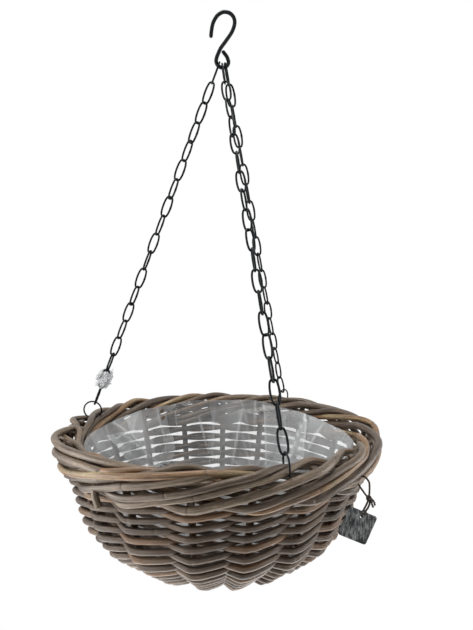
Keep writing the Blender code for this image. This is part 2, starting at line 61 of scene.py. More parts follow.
# Sizes as the part has them
RIM_RADIUS = 0.175
BOWL_DEPTH = 0.128
STAKE_DIAMETER = 0.007
BORDER_DIAMETER = 0.0095
BORDER_OFFSET = 0.00935
BORDER_STEP = 0.0138
BORDER_HUMP = 0.002
GAP = 0.0003
STAKE_TOP_HEIGHT = 0.01
STAKE_RIM_RADIUS = RIM_RADIUS - BORDER_DIAMETER / 2 - BORDER_OFFSET
WALL_ROWS = 12
WALL_ROW_START = 0.0115
WALL_ROW_END = 0.0095
BASE_ROW_RADII = (0.0735, 0.061)
TIE_ROW_RADIUS = 0.048
FAN_RADIUS = 0.0455
SLATH_GAP = 0.0008

# Azimuths of the stake rods' ends, in degrees
ROD_ENDS_ACROSS = ((-40, 220), (-20, 201), (2, 184.5), (25, 168.5), (48.5, 148.5))
ROD_ENDS_ALONG = ((128.5, -121.5), (108, -99), (88.5, -79.5), (69.5, -59))

# The wall's line from the middle of the base up: radius and depth, as shares
WALL_SHARES = (
    (0, 1), (0.12, 0.999), (0.24, 0.99), (0.478, 0.956), (0.632, 0.843), (0.79, 0.686), (0.867, 0.528),
    (0.908, 0.358), (0.953, 0.177), (0.99, 0.03), (1, -0.08),
)

LINK_LENGTH = 0.02503
LINK_WIDTH = 0.0106
LINK_WIRE = 0.0021
LINK_PLAY = 0.0003
EYE_PLAY = 0.0008
LINK_BITE = 0.0008
LINKS_PER_RUN = (4, 3, 3, 3, 3, 3)
RING_DIAMETER = 0.0225
RING_WIRE = 0.0017
RING_POINTS = 12
HOOK_WIRE = 0.0041
HOOK_DEPTH = 0.0505
HOOK_HALF_WIDTH = 0.0115
HOOK_SIDE_STEP = 0.0024
EYE_RADIUS = 0.0065
EYE_WRAP = radians(112)

# Where each chain hangs round the eye, from its lowest point, and how its ring is turned, in degrees
CHAINS = {"left": (-40, 20), "front": (3, -12), "back": (33, -12)}

# How far each link but the last two is turned from square to the eye's wire, in degrees
LINK_TURNS = {
    "left": (-7, 110, 55, 118, 37, 95, 27, 88, 20, 90, 10, 85, 25, 90, 25, 90, 8),
    "front": (0, 95, 40, 150, 80, 175, 90, 30, 120, 60, 175, 90, 15, 75, 125, 22, 92),
    "back": (0, 98, 12, 98, 5, 92, 0, 88, -5, 85, -8, 82, -12, 78, -16, 74, -20),
}

# The hook's wire from its tip to its eye, and its tail: across, sideways and down, as shares
HOOK_SHARES = (
    (-1.06, 0, 0.533), (-1.01, 0, 0.392), (-0.87, 0, 0.23), (-0.52, 0, 0.086), (-0.1, 0, 0.014),
    (0.235, 0, 0), (0.64, 0, 0.022), (0.99, 0, 0.1), (1.1, -0.12, 0.228), (0.86, -0.38, 0.405),
    (0.33, -0.66, 0.592), (-0.165, -0.84, 0.752), (-0.48, -0.96, 0.915),
)
HOOK_TAIL_SHARES = ((0.42, 1, 0.892), (0.22, 1.04, 0.83), (-0.02, 1.06, 0.765))

TWINE_DIAMETER = 0.0018

# The twine's route from the border rod to the tag's hole, from the middle of the rim
TWINE_ROUTE = (
    (0.1328, -0.0983, -0.0111), (0.1352, -0.1, -0.0111), (0.1375, -0.1016, -0.012),
    (0.1391, -0.1029, -0.0139), (0.1401, -0.1041, -0.016), (0.1403, -0.1048, -0.0205),
    (0.14, -0.1058, -0.025), (0.1392, -0.1068, -0.0295), (0.1376, -0.1078, -0.034),
    (0.1352, -0.1086, -0.0383), (0.133, -0.1094, -0.042), (0.1321, -0.11, -0.0435),
    (0.1317, -0.1107, -0.0445), (0.1316, -0.1122, -0.045), (0.1315, -0.1137, -0.0446),
)

# The canes of the rows, two in each: thinner in the open rows next to the border
STRAND_DIAMETER = 0.0065
OPEN_ROWS = 4
OPEN_STRAND_DIAMETER = 0.006
STRAND_CLIMB = 0.0022
BASE_STRAND_DIAMETER = 0.0046
BASE_STRAND_CLIMB = 0.0014

# How many sides a tube of each kind has
CANE_SIDES = 12
BORDER_SIDES = 14
HOOK_SIDES = 16
WIRE_SIDES = 10
KNOT_SIDES = 8

# Camera, fitted to the photograph: its place from the middle of the rim, and its turns
CAMERA_DISTANCE = 0.67074
CAMERA_HEIGHT = 0.17801
CAMERA_PITCH = 0.0662
CAMERA_YAW = -0.0257
CAMERA_ROLL = 0.0087
CAMERA_FOCAL_PIXELS = 622.14
PHOTO_WIDTH_PIXELS = 473
SENSOR_WIDTH = 36.0

# Seeds of the random draws
ROW_SEED = 11
BASE_ROW_SEED = 41
TIE_SEED = 47
STAKE_SEED = 5
BORDER_SEED = 60
BORDER_SWELL_SEED = 70
BORDER_DRIFT_SEED = 80
BORDER_SWAY_SEED = 90
OVER_CANE_SEED = 130
CREASE_SEED = 21
WRAP_SEED = 14


# Curves


def smooth_path(points, steps):
    """Points on a smooth curve through the given ones, with this many steps to each span."""
    path = []
    for i, (p1, p2) in enumerate(zip(points, points[1:])):
        p0 = points[i - 1] if i else p1 * 2 - p2
        p3 = points[i + 2] if i + 2 < len(points) else p2 * 2 - p1
        for k in range(steps):
            t = k / steps
            path.append(
                (p1 * 2 + (p2 - p0) * t + (p0 * 2 - p1 * 5 + p2 * 4 - p3) * t**2
                 + (p1 * 3 - p0 - p2 * 3 + p3) * t**3) / 2
            )
    return path + [points[-1].copy()]


def smooth_loop(points, steps):
    """The same round a closed loop of points."""
    path = smooth_path(points[-2:] + points + points[:3], steps)
    return path[2 * steps:(2 + len(points)) * steps]


def lengths_along(line):
    """How far along a line each of its points is."""
    reach = [0.0]
    for before, after in zip(line, line[1:]):
        reach.append(reach[-1] + (after - before).length)
    return reach


def reach_where(line, axis, value):
    """How far along a line its coordinate on this axis has this value."""
    reach = lengths_along(line)
    for i, (before, after) in enumerate(zip(line, line[1:])):
        if before[axis] <= value <= after[axis]:
            share = (value - before[axis]) / (after[axis] - before[axis])
            return reach[i] + (reach[i + 1] - reach[i]) * share
    return reach[-1]


PROFILE_STEPS = 12


def wall_line():
    """The wall's line from the middle of the base up, as radius and height."""
    points = [Vector((r * STAKE_RIM_RADIUS, -z * BOWL_DEPTH)) for r, z in WALL_SHARES]
    curve = smooth_path(points, PROFILE_STEPS)
    top = reach_where(curve, 1, STAKE_TOP_HEIGHT)
    reach = lengths_along(curve)
    return [point for point, at in zip(curve, reach) if at < top] + [place_on(curve, reach, top)]


def place_on(line, reach, distance, offset=0.0):
    """The point this far along a line, and this far out of it."""
    i = min(max(int(np.searchsorted(reach, distance)) - 1, 0), len(line) - 2)
    along = (line[i + 1] - line[i]).normalized()
    return line[i] + along * (distance - reach[i]) + Vector((along.y, -along.x)) * offset


# A reach is how far along the wall's line a place is, from the middle of the base
LINE = wall_line()
LINE_REACH = lengths_along(LINE)
TOP_REACH = LINE_REACH[-1]
MID_REACH = TOP_REACH - BORDER_STEP
LOW_REACH = MID_REACH - BORDER_STEP
STAKES = sorted(radians(end % 360) for pair in ROD_ENDS_ACROSS + ROD_ENDS_ALONG for end in pair)
BASE_REACHES = [reach_where(LINE, 0, radius) for radius in BASE_ROW_RADII]
FIRST_ROW = LOW_REACH - WALL_ROW_START
ROW_STEP = (FIRST_ROW - BASE_REACHES[0] - WALL_ROW_END) / (WALL_ROWS - 1)


def middle_of(node):
    """The middle of a frame node's box."""
    low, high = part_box(node)
    return (low + high) / 2


# The rim's height follows from the left ring, which hangs on its border rod
RING_ARM = RING_DIAMETER / 2 - RING_WIRE / 2
RING_LIFT = RING_ARM * cos(pi / RING_POINTS) - RING_WIRE / 2 - GAP - BORDER_DIAMETER / 2
ROD_HEIGHT = place_on(LINE, LINE_REACH, TOP_REACH + BORDER_HUMP).y
RIM_Z = middle_of("rim_ring_left").z - ROD_HEIGHT - RING_LIFT
RIM_CENTRE = Vector((0.0, 0.0, RIM_Z))

# The bowl isn't quite round: low on the right of its front it stands in from the wall's line
DENT_DEPTH = 0.006
DENT_AZIMUTH = radians(-32)


def dent(azimuth, height):
    """How far the bowl stands in at this azimuth and height over the rim."""
    sunk = sin(pi * min(1.0, max(0.0, -height / BOWL_DEPTH)))
    return DENT_DEPTH * sunk * max(0.0, cos(azimuth - DENT_AZIMUTH)) ** 3


def in_bowl(azimuth, reach, offset=0.0):
    """The place at this azimuth and reach, and this far out of the wall's line."""
    place = place_on(LINE, LINE_REACH, reach, offset)
    radius = place.x - dent(azimuth, place.y)
    return Vector((cos(azimuth) * radius, sin(azimuth) * radius, RIM_Z + place.y))


def stake_azimuth(position):
    """The azimuth of a stake by its number, or between two."""
    low = int(position // 1)
    first, second = (STAKES[i % len(STAKES)] + 2 * pi * (i // len(STAKES)) for i in (low, low + 1))
    return first + (second - first) * (position - low)


# Meshes


def link_object(name, data):
    obj = bpy.data.objects.new(name, data)
    bpy.context.scene.collection.objects.link(obj)
    return obj


def new_object(name, verts, faces, material, smooth=True):
    mesh = bpy.data.meshes.new(name)
    mesh.from_pydata([tuple(v) for v in verts], [], faces)
    mesh.validate()
    if smooth:
        mesh.shade_smooth()
    mesh.materials.append(material)
    return link_object(name, mesh)


def add_attribute(obj, name, values):
    attribute = obj.data.attributes.new(name, "FLOAT", "POINT")
    attribute.data.foreach_set("value", np.array(values, np.float32))


def circle(steps):
    """The cosine and sine at each step round a circle."""
    return [(cos(2 * pi * k / steps), sin(2 * pi * k / steps)) for k in range(steps)]


def grid_faces(base, rows, columns, closed=True, looped=False):
    """The faces of a grid of points: closed joins each row's ends, and looped the first and last rows."""
    faces = []
    for i in range(rows if looped else rows - 1):
        a, b = base + i * columns, base + (i + 1) % rows * columns
        for k in range(columns if closed else columns - 1):
            n = (k + 1) % columns
            faces.append((a + k, a + n, b + n, b + k))
    return faces


class Tubes:
    """Gathers tubes into one mesh, with their lengths and tones as attributes."""

    def __init__(self):
        self.verts, self.faces = [], []
        self.along, self.around, self.tone = [], [], []

    def add(self, path, radius, sides=CANE_SIDES, closed=False, tone=0.5, up=None, squash=1.0, start=0.0):
        """radius is a number or one for each point; up is the way at each point that squash makes thinner."""
        count = len(path)
        base = len(self.verts)
        radii = radius if hasattr(radius, "__len__") else [radius] * count
        reach = lengths_along(path)
        side = None
        for i, point in enumerate(path):
            before = path[i - 1] if i or closed else path[0]
            after = path[(i + 1) % count] if i < count - 1 or closed else path[-1]
            tangent = (after - before).normalized()
            if up is not None:
                side = up[i]
            elif side is None:  # any way but along the tube
                side = Vector((0.3, 0.2, 0.9)) if abs(tangent.z) < 0.8 else Vector((0.9, 0.3, 0.1))
            side = (side - tangent * side.dot(tangent)).normalized()
            across = tangent.cross(side)
            for k, (cosine, sine) in enumerate(circle(sides)):
                self.verts.append(point + (side * (cosine * squash) + across * sine) * radii[i])
                self.along.append(start + reach[i])
                self.around.append(k / sides)
                self.tone.append(tone)
        self.faces += grid_faces(base, count, sides, looped=closed)
        if not closed:
            self.faces.append(tuple(base + k for k in reversed(range(sides))))
            self.faces.append(tuple(base + (count - 1) * sides + k for k in range(sides)))

    def build(self, name, material):
        obj = new_object(name, self.verts, self.faces, material)
        for label in ("along", "around", "tone"):
            add_attribute(obj, label, getattr(self, label))
        return obj


WANDER_WAVES = 3


def wander(seed, count, size):
    """A gentle wave round a closed row, the same each run."""
    random = np.random.default_rng(seed)
    t = np.linspace(0.0, 2 * pi, count, endpoint=False)
    total = np.zeros(count)
    for k in range(WANDER_WAVES):
        total += random.uniform(-1, 1) * np.sin((k * 3 + 2) * t + random.uniform(0, 2 * pi))
    return total * size / WANDER_WAVES


def swollen(diameter, seed, count, share):
    """Radii along a cane that is thicker here and thinner there."""
    return [diameter / 2 * swell for swell in 1.0 + wander(seed, count, share)]


# Materials


class Shader:
    """A Principled material and short calls for the nodes that feed it."""

    def __init__(self, name, roughness, metallic=0.0, specular=0.5):
        self.material = bpy.data.materials.new(name)
        self.material.use_nodes = True
        self.tree = self.material.node_tree
        self.shader = self.tree.nodes["Principled BSDF"]
        self.shader.inputs["Roughness"].default_value = roughness
        self.shader.inputs["Metallic"].default_value = metallic
        self.shader.inputs["Specular IOR Level"].default_value = specular

    def node(self, kind, **inputs):
        node = self.tree.nodes.new(kind)
        for key, value in inputs.items():
            self.put(node.inputs[key], value)
        return node

    def put(self, socket, value):
        if isinstance(value, bpy.types.NodeSocket):
            self.tree.links.new(value, socket)
        else:
            socket.default_value = value

    def attribute(self, name):
        node = self.tree.nodes.new("ShaderNodeAttribute")
        node.attribute_name = name
        return node.outputs["Fac"]

    def math(self, operation, first, second=0.0):
        node = self.tree.nodes.new("ShaderNodeMath")
        node.operation = operation
        self.put(node.inputs[0], first)
        self.put(node.inputs[1], second)
        return node.outputs[0]

    def times(self, first, second):
        return self.math("MULTIPLY", first, second)

    def plus(self, base, value, share):
        """base + value * share"""
        return self.math("ADD", base, self.times(value, share))

    def vector(self, x, y, z):
        return self.node("ShaderNodeCombineXYZ", X=x, Y=y, Z=z).outputs[0]

    def noise(self, vector, scale, detail, roughness):
        node = self.node("ShaderNodeTexNoise", Vector=vector, Scale=scale, Detail=detail, Roughness=roughness)
        return node.outputs["Fac"]

    def place(self):
        return self.tree.nodes.new("ShaderNodeTexCoord").outputs["Object"]

    def ramp(self, value, stops):
        node = self.tree.nodes.new("ShaderNodeValToRGB")
        self.put(node.inputs[0], value)
        elements = node.color_ramp.elements
        while len(elements) < len(stops):
            elements.new(0.5)
        for element, (position, colour) in zip(elements, stops):
            element.position = position
            element.color = (*colour, 1.0)
        return node.outputs["Color"]

    def mix(self, factor, first, second, blend="MIX"):
        node = self.tree.nodes.new("ShaderNodeMix")
        node.data_type = "RGBA"
        node.blend_type = blend
        for key, value in (("Factor", factor), ("A", first), ("B", second)):
            self.put(node.inputs[key], (*value, 1.0) if isinstance(value, tuple) else value)
        return node.outputs["Result"]

    def bump(self, height, strength, distance):
        node = self.node("ShaderNodeBump", Height=height, Strength=strength, Distance=distance)
        self.tree.links.new(node.outputs[0], self.shader.inputs["Normal"])

    def colour(self, value):
        self.put(self.shader.inputs["Base Color"], value)

    def roughness(self, value):
        self.put(self.shader.inputs["Roughness"], value)


def grey(*stops):
    """The stops of a ramp between greys, each by its position and how light it is."""
    return tuple((position, (light, light, light)) for position, light in stops)


# Cane: its streaks, growth rings and flecks, and how far patches move its tone and its tone its textures
STREAK_RAMP = ((0.34, (0.08, 0.06, 0.05)), (0.5, (0.42, 0.39, 0.35)), (0.66, (0.9, 0.84, 0.76)))
STREAK_SHARE = 0.75
GROWTH_RAMP = grey((0, 1), (0.012, 0.25), (0.03, 0), (0.985, 0), (1, 1))
GROWTH_SHARE = 0.55
GROWTH_COLOUR = (0.05, 0.035, 0.025)
GROWTHS_PER_METRE = 7.0
FLECK_RAMP = ((0.34, (0.06, 0.05, 0.045)), (0.46, (0.45, 0.44, 0.43)), (0.66, (0.78, 0.76, 0.72)))
FLECK_SHARE = 0.6
PATCH_SPREAD = 0.95
TONE_SHIFT = 37.0
CANE_GLOSS = (1.0, 0.88, 0.76, 1.0)


def cane_material(name, tones):
    """Weathered cane, with streaks, cloudy patches, flecks and dark growth rings."""
    cane = Shader(name, 0.5, specular=0.6)
    cane.shader.inputs["Specular Tint"].default_value = CANE_GLOSS
    along, around, tone = (cane.attribute(label) for label in ("along", "around", "tone"))
    turn = cane.times(around, 2 * pi)
    x = cane.math("COSINE", turn)
    y = cane.math("SINE", turn)
    shift = cane.times(tone, TONE_SHIFT)

    def texture(girth, stretch, scale, detail, roughness):
        """Noise on the cane: girth is how much of it goes round, stretch how much lies along a metre."""
        place = cane.vector(cane.times(x, girth), cane.times(y, girth), cane.plus(shift, along, stretch))
        return cane.noise(place, scale, detail, roughness)

    streak = texture(girth=1.3, stretch=13.0, scale=2.2, detail=6.0, roughness=0.65)
    patch = texture(girth=0.35, stretch=13.0, scale=1.4, detail=3.0, roughness=0.5)
    fleck = texture(girth=1.3, stretch=60.0, scale=2.4, detail=5.0, roughness=0.7)
    base = cane.ramp(cane.plus(tone, cane.math("SUBTRACT", patch, 0.5), PATCH_SPREAD), tones)
    streaked = cane.mix(STREAK_SHARE, base, cane.ramp(streak, STREAK_RAMP), "OVERLAY")
    growth = cane.ramp(cane.math("FRACT", cane.plus(shift, along, GROWTHS_PER_METRE)), GROWTH_RAMP)
    grown = cane.mix(cane.times(growth, GROWTH_SHARE), streaked, GROWTH_COLOUR)
    cane.colour(cane.mix(FLECK_SHARE, grown, cane.ramp(fleck, FLECK_RAMP), "OVERLAY"))
    cane.roughness(cane.plus(0.3, patch, 0.25))
    height = cane.plus(cane.times(streak, 0.7), fleck, 0.3)
    cane.bump(cane.plus(height, growth, -0.6), 0.55, 0.0014)
    return cane.material


# The colours of canes from the darkest tone to the palest, with a redder one before the palest
WALL_TONES = (
    (0, (0.024, 0.014, 0.009)), (0.35, (0.058, 0.036, 0.023)), (0.6, (0.1, 0.067, 0.042)),
    (0.8, (0.13, 0.062, 0.026)), (1, (0.2, 0.16, 0.11)),
)
BORDER_TONES = (
    (0, (0.03, 0.02, 0.014)), (0.35, (0.072, 0.052, 0.038)), (0.6, (0.152, 0.12, 0.088)),
    (0.8, (0.19, 0.102, 0.048)), (1, (0.27, 0.222, 0.135)),
)

WIRE_DARK = (0.003, 0.004, 0.005)
WIRE_PALE = (0.009, 0.012, 0.014)
WIRE_WORN = (0.06, 0.065, 0.07)


def wire_material():
    """Black enamel on steel wire, a little uneven, with grey wear."""
    wire = Shader("black_enamel", 0.3, specular=0.12)
    place = wire.place()
    blotch = wire.noise(place, 260.0, 4.0, 0.6)
    wear = wire.noise(place, 900.0, 3.0, 0.7)
    base = wire.ramp(blotch, ((0.3, WIRE_DARK), (0.7, WIRE_PALE)))
    worn = wire.ramp(wear, grey((0.62, 0), (0.74, 1)))
    wire.colour(wire.mix(wire.times(worn, 0.2), base, WIRE_WORN))
    wire.roughness(wire.plus(0.2, blotch, 0.3))
    wire.bump(wear, 0.25, 0.0002)
    return wire.material


# Film: how much it hides, and what its clouds, facets, creases and slant add
FILM_ALPHA = 0.42
CLOUD_HAZE = 0.5
FACET_HAZE = 0.2
CREASE_HAZE = 0.3
SLANT_HAZE = 0.1
# How dark the film's painted shade gets across its facets and clouds, as a share of its tint
FILM_SHADE = 0.7


def film_material(name, tint, fineness, veins):
    """Clear film: hazy, with painted shade across its facets, fine crinkles, and pale creases with a painted
    highlight.
    """
    film = Shader(name, 0.26, specular=0.35)
    place = film.place()
    warp = film.node("ShaderNodeTexNoise", Vector=place, Scale=14.0 * fineness, Detail=2.0)
    bent = film.mix(0.06, place, warp.outputs["Color"], "ADD")
    crinkle = film.node("ShaderNodeTexVoronoi", Vector=bent, Scale=34.0 * fineness)
    crinkle.feature = "DISTANCE_TO_EDGE"
    vein = film.ramp(crinkle.outputs["Distance"], grey((0.0, 1), (0.045, 0.25), (0.12, 0)))
    cells = film.node("ShaderNodeTexVoronoi", Vector=bent, Scale=34.0 * fineness)
    tall = film.node("ShaderNodeMapping", Vector=bent, Scale=(1.0, 1.0, 0.55))
    facets = film.node("ShaderNodeTexVoronoi", Vector=tall.outputs[0], Scale=24.0 * fineness)
    facet_shade_and_haze = film.ramp(facets.outputs["Color"], grey((0.2, 0), (0.8, 1)))
    cloud = film.noise(place, 11.0 * fineness, 2.0, 0.5)
    crease_highlight = film.attribute("crease_highlight")
    slant = film.node("ShaderNodeLayerWeight", Blend=0.35).outputs["Facing"]
    # Painted shade: the tint darkens cell by cell and cloud by cloud, standing in for the shading of the
    # crumpled faces
    shade = film.plus(film.times(cloud, 0.5), facet_shade_and_haze, 0.5)
    shaded = film.ramp(shade, ((0.25, tuple(c * FILM_SHADE for c in tint)), (0.7, tint)))
    # Painted highlight: the film turns white, and less clear, along its creases and the loose layers' side
    # edges
    film.colour(film.mix(crease_highlight, shaded, (1.0, 1.0, 1.0)))
    opacity = film.plus(FILM_ALPHA, film.math("SUBTRACT", cloud, 0.5), CLOUD_HAZE)
    opacity = film.plus(opacity, film.math("SUBTRACT", facet_shade_and_haze, 0.5), FACET_HAZE)
    for value, share in ((vein, veins), (crease_highlight, CREASE_HAZE), (slant, SLANT_HAZE)):
        opacity = film.plus(opacity, value, share)
    clamp = film.node("ShaderNodeClamp", Value=opacity, Min=0.08, Max=0.95)
    film.put(film.shader.inputs["Alpha"], clamp.outputs[0])
    height = film.plus(film.times(cells.outputs["Distance"], 0.6), cloud, 0.8)
    film.bump(height, 0.5, 0.006 / fineness)
    return film.material


TWISTS_PER_METRE = 480.0


def twine_material():
    """Dark twisted twine with a little fuzz."""
    twine = Shader("dark_twine", 0.9)
    turns = twine.plus(twine.attribute("around"), twine.attribute("along"), TWISTS_PER_METRE)
    twist = twine.math("SINE", twine.times(turns, 2 * pi))
    fuzz = twine.noise(twine.place(), 1800.0, 3.0, 0.7)
    tone = twine.plus(fuzz, twist, 0.25)
    twine.colour(twine.ramp(tone, ((0.2, (0.016, 0.011, 0.009)), (0.9, (0.105, 0.078, 0.06)))))
    twine.bump(tone, 0.8, 0.0004)
    return twine.material


TAG_DARK = (0.014, 0.015, 0.018)
TAG_PALE = (0.06, 0.061, 0.062)
TAG_WORN = (0.34, 0.35, 0.35)
SCUFF_SLANT = 0.7
SCUFF_STRETCH = 0.22


def tag_material():
    """Rough black plate, scuffed and rubbed to grey in patches."""
    tag = Shader("tag_black", 0.5, metallic=0.2)
    place = tag.place()
    broad = tag.noise(place, 70.0, 4.0, 0.6)
    grain = tag.noise(place, 900.0, 4.0, 0.7)
    slanted = tag.node("ShaderNodeMapping", Vector=place, Rotation=(0.0, SCUFF_SLANT, 0.0),
                       Scale=(1.0, 1.0, SCUFF_STRETCH))
    scuff = tag.noise(slanted.outputs[0], 620.0, 5.0, 0.75)
    where = tag.times(tag.ramp(broad, grey((0.36, 0), (0.5, 1))), 0.9)
    worn = tag.times(tag.ramp(scuff, grey((0.46, 0), (0.56, 1))), where)
    base = tag.ramp(broad, ((0.35, TAG_DARK), (0.75, TAG_PALE)))
    tag.colour(tag.mix(worn, base, TAG_WORN))
    tag.roughness(tag.plus(0.25, grain, 0.35))
    tag.bump(tag.math("ADD", grain, worn), 0.35, 0.0002)
    return tag.material


WALL_CANE = cane_material("wall_cane", WALL_TONES)
BORDER_CANE = cane_material("border_cane", BORDER_TONES)
BLACK_WIRE = wire_material()
LINER_FILM = film_material("clear_film", (0.8, 0.82, 0.83), fineness=1.0, veins=0.03)
WRAP_FILM = film_material("wrap_film", (0.82, 0.84, 0.85), fineness=5.0, veins=0.25)
TWINE = twine_material()
TAG_BLACK = tag_material()


# Canes


# A strand from outside one stake to inside the next: how far along, out and up it is, as shares
STRAND_SHARES = (
    (0, 1, 0), (0.1, 0.97, 0.2), (0.3, 0.68, 0.66), (0.52, 0.3, 1), (0.74, -0.38, 0.8),
    (0.91, -0.97, 0.2),
)
STRAND_STEPS = 3

# How far a strand strays, how its thickness differs, and how flat it is
STRAND_DRIFT = 0.0011
STRAND_SIZES = (0.94, 1.06)
STRAND_SWELL = 0.09
STRAND_SQUASH = 0.93


def twined_strand(reach, radius, climb, strand, seed):
    """One cane of a twined pair, outside every other stake."""
    count = len(STAKES)
    drift = wander(seed, count, STRAND_DRIFT)
    amplitude = STAKE_DIAMETER / 2 + radius
    points = []
    for i in range(count):
        side = -1.0 if (i + strand) % 2 else 1.0
        for along, out, rise in STRAND_SHARES:
            height = reach + side * rise * climb + drift[i] * (1 - along) + drift[(i + 1) % count] * along
            points.append(in_bowl(stake_azimuth(i + along), height, side * out * amplitude))
    return smooth_loop(points, STRAND_STEPS)


def add_pair(name, reach, diameter, climb, seed, tones):
    tubes = Tubes()
    random = np.random.default_rng(seed)
    for strand in range(2):
        size = diameter * random.uniform(*STRAND_SIZES)
        path = twined_strand(reach, diameter / 2, climb, strand, seed * 2)
        radii = swollen(size, seed * 3 + strand, len(path), STRAND_SWELL)
        out = [Vector((point.x, point.y, 0.0)).normalized() for point in path]
        tubes.add(path, radii, closed=True, tone=tones[strand], up=out, squash=STRAND_SQUASH,
                  start=random.uniform(0, 1))
    obj = tubes.build(name + "_canes", WALL_CANE)
    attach(obj, "basket")
    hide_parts(name)


# The tones of the two canes of each row, from the border down, and of the rows in the base
ROW_TONES = (
    (0.35, 0.82), (0.24, 0.34), (0.12, 0.38), (0.72, 0.3), (0.3, 0.16), (0.62, 0.28),
    (0.14, 0.48), (0.7, 0.26), (0.36, 0.55), (0.2, 0.45), (0.5, 0.3), (0.4, 0.24),
)
BASE_ROW_TONES = (0.4, 0.55)
TIE_TONES = (0.35, 0.5)


def add_rows():
    for row, tones in enumerate(ROW_TONES):
        reach = FIRST_ROW - row * ROW_STEP
        diameter = OPEN_STRAND_DIAMETER if row < OPEN_ROWS else STRAND_DIAMETER
        add_pair(f"wall_weaver_{row + 1:02d}", reach, diameter, STRAND_CLIMB, ROW_SEED + row, tones)
    finer = BASE_STRAND_DIAMETER, BASE_STRAND_CLIMB
    for row, reach in enumerate(BASE_REACHES):
        add_pair(f"base_weaver_{row + 1}", reach, *finer, BASE_ROW_SEED + row, BASE_ROW_TONES)
    add_pair("base_tie", reach_where(LINE, 0, TIE_ROW_RADIUS), *finer, TIE_SEED, TIE_TONES)


STAKE_STEPS = 26
STAKE_TONES = (0.1, 0.5)
CROSSING_SHARES = (-1, -0.5, 0, 0.5, 1)


def add_stakes():
    """Rods that cross in the base, one group over the other, and turn up as the stakes."""
    pitch = STAKE_DIAMETER + SLATH_GAP
    layer = STAKE_DIAMETER / 2 + GAP / 2
    fan = reach_where(LINE, 0, FAN_RADIUS)
    reaches = [fan + (TOP_REACH - fan) * k / STAKE_STEPS for k in range(STAKE_STEPS + 1)]
    base_z = RIM_Z - BOWL_DEPTH
    random = np.random.default_rng(STAKE_SEED)
    for group, ends, others, lift in (
        ("across", ROD_ENDS_ACROSS, ROD_ENDS_ALONG, layer),
        ("along", ROD_ENDS_ALONG, ROD_ENDS_ACROSS, -layer),
    ):
        half = pitch * (len(others) - 1) / 2 + STAKE_DIAMETER
        for k, pair in enumerate(ends):
            beside = (k - (len(ends) - 1) / 2) * pitch
            crossing = [Vector((half * share, beside, base_z + lift)) for share in CROSSING_SHARES]
            if group == "along":
                crossing = [point.yxz for point in crossing]
            near, far = ([in_bowl(radians(end), reach) for reach in reaches] for end in pair)
            tubes = Tubes()
            tubes.add(smooth_path(far[::-1] + crossing + near, 2), STAKE_DIAMETER / 2,
                      tone=random.uniform(*STAKE_TONES), start=random.uniform(0, 1))
            name = f"stake_rod_{group}_{k + 1}"
            obj = tubes.build(name + "_cane", WALL_CANE)
            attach(obj, "basket")
            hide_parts(name)


# How a border rod passes one stake after the other: outside or inside, and its reach
BORDER_SLOTS = (
    (1, LOW_REACH), (1, MID_REACH), (1, TOP_REACH), (-1, TOP_REACH), (-1, MID_REACH), (-1, LOW_REACH),
)
BORDER_STEPS = 8

# The canes of each rod, one or a pair side by side: diameter and tone
BORDER_CANES = (
    ((0.0067, 0.34), (0.0063, 0.5)), ((0.0076, 0.42),), ((0.0066, 0.8), (0.0065, 0.3)),
    ((0.0078, 0.22),), ((0.0067, 0.4), (0.0063, 0.82)), ((0.0077, 0.58),),
)

# How far a cane strays, a pair rolls to and fro in radians, and a cane swells along it and at the back
BORDER_DRIFT = 0.0018
BORDER_SWAY = 1.6
BORDER_SWELL = 0.08
BACK_SWELL = 0.12

# At the left end three canes lie over the others, which settle there: diameter, tone and course, as azimuth
# in degrees, reach over the border's top, and offset. One rod's piece holds them, and another's the cut end
OVER_CANES_ROD = 0
STUB_ROD = 1
SETTLE_DEPTH = 0.0075
SETTLE_AZIMUTH = radians(211)
SETTLE_SPREAD = radians(40)
OVER_CANE_SWELL = 0.06
OVER_CANES = (
    (0.0072, 0.5, (
        (176, -0.006, -0.008), (183, 0, -0.002), (190, 0.0025, 0.0075), (197, 0.003, 0.0125),
        (207, 0.003, 0.0118), (217, 0.003, 0.009), (228, 0.003, 0.0055), (240, 0.0015, 0.0025),
        (252, -0.003, -0.004), (262, -0.008, -0.008),
    )),
    (0.0072, 0.46, (
        (192, -0.009, 0.002), (199, -0.007, 0.0115), (207, -0.005, 0.015), (215, -0.0042, 0.0128),
        (224, -0.0038, 0.0112), (233, -0.0042, 0.0108), (245, -0.005, 0.008), (257, -0.007, 0.003),
        (268, -0.01, -0.002),
    )),
    (0.0066, 0.9, (
        (196, -0.02, 0.004), (204, -0.017, 0.012), (213, -0.015, 0.014), (222, -0.0118, 0.0132),
        (233, -0.0065, 0.014), (246, -0.001, 0.0132), (258, 0.0028, 0.01), (268, 0.0032, 0.0045),
        (278, -0.001, -0.002), (286, -0.007, -0.007),
    )),
)


def settled(azimuth, reach):
    """How much lower the border's upper canes lie, under the canes over them."""
    upper = max(0.0, 1.0 - (TOP_REACH - reach) / BORDER_STEP)
    return SETTLE_DEPTH * upper * exp(-((azimuth - SETTLE_AZIMUTH) / SETTLE_SPREAD) ** 2)


def add_over_canes(tubes):
    for k, (size, tone, course) in enumerate(OVER_CANES):
        points = [in_bowl(radians(azimuth), TOP_REACH + up, out) for azimuth, up, out in course]
        path = smooth_path(points, 6)
        radii = swollen(size, OVER_CANE_SEED + k, len(path), OVER_CANE_SWELL)
        tubes.add(path, radii, sides=BORDER_SIDES, tone=tone, start=0.3 * k)


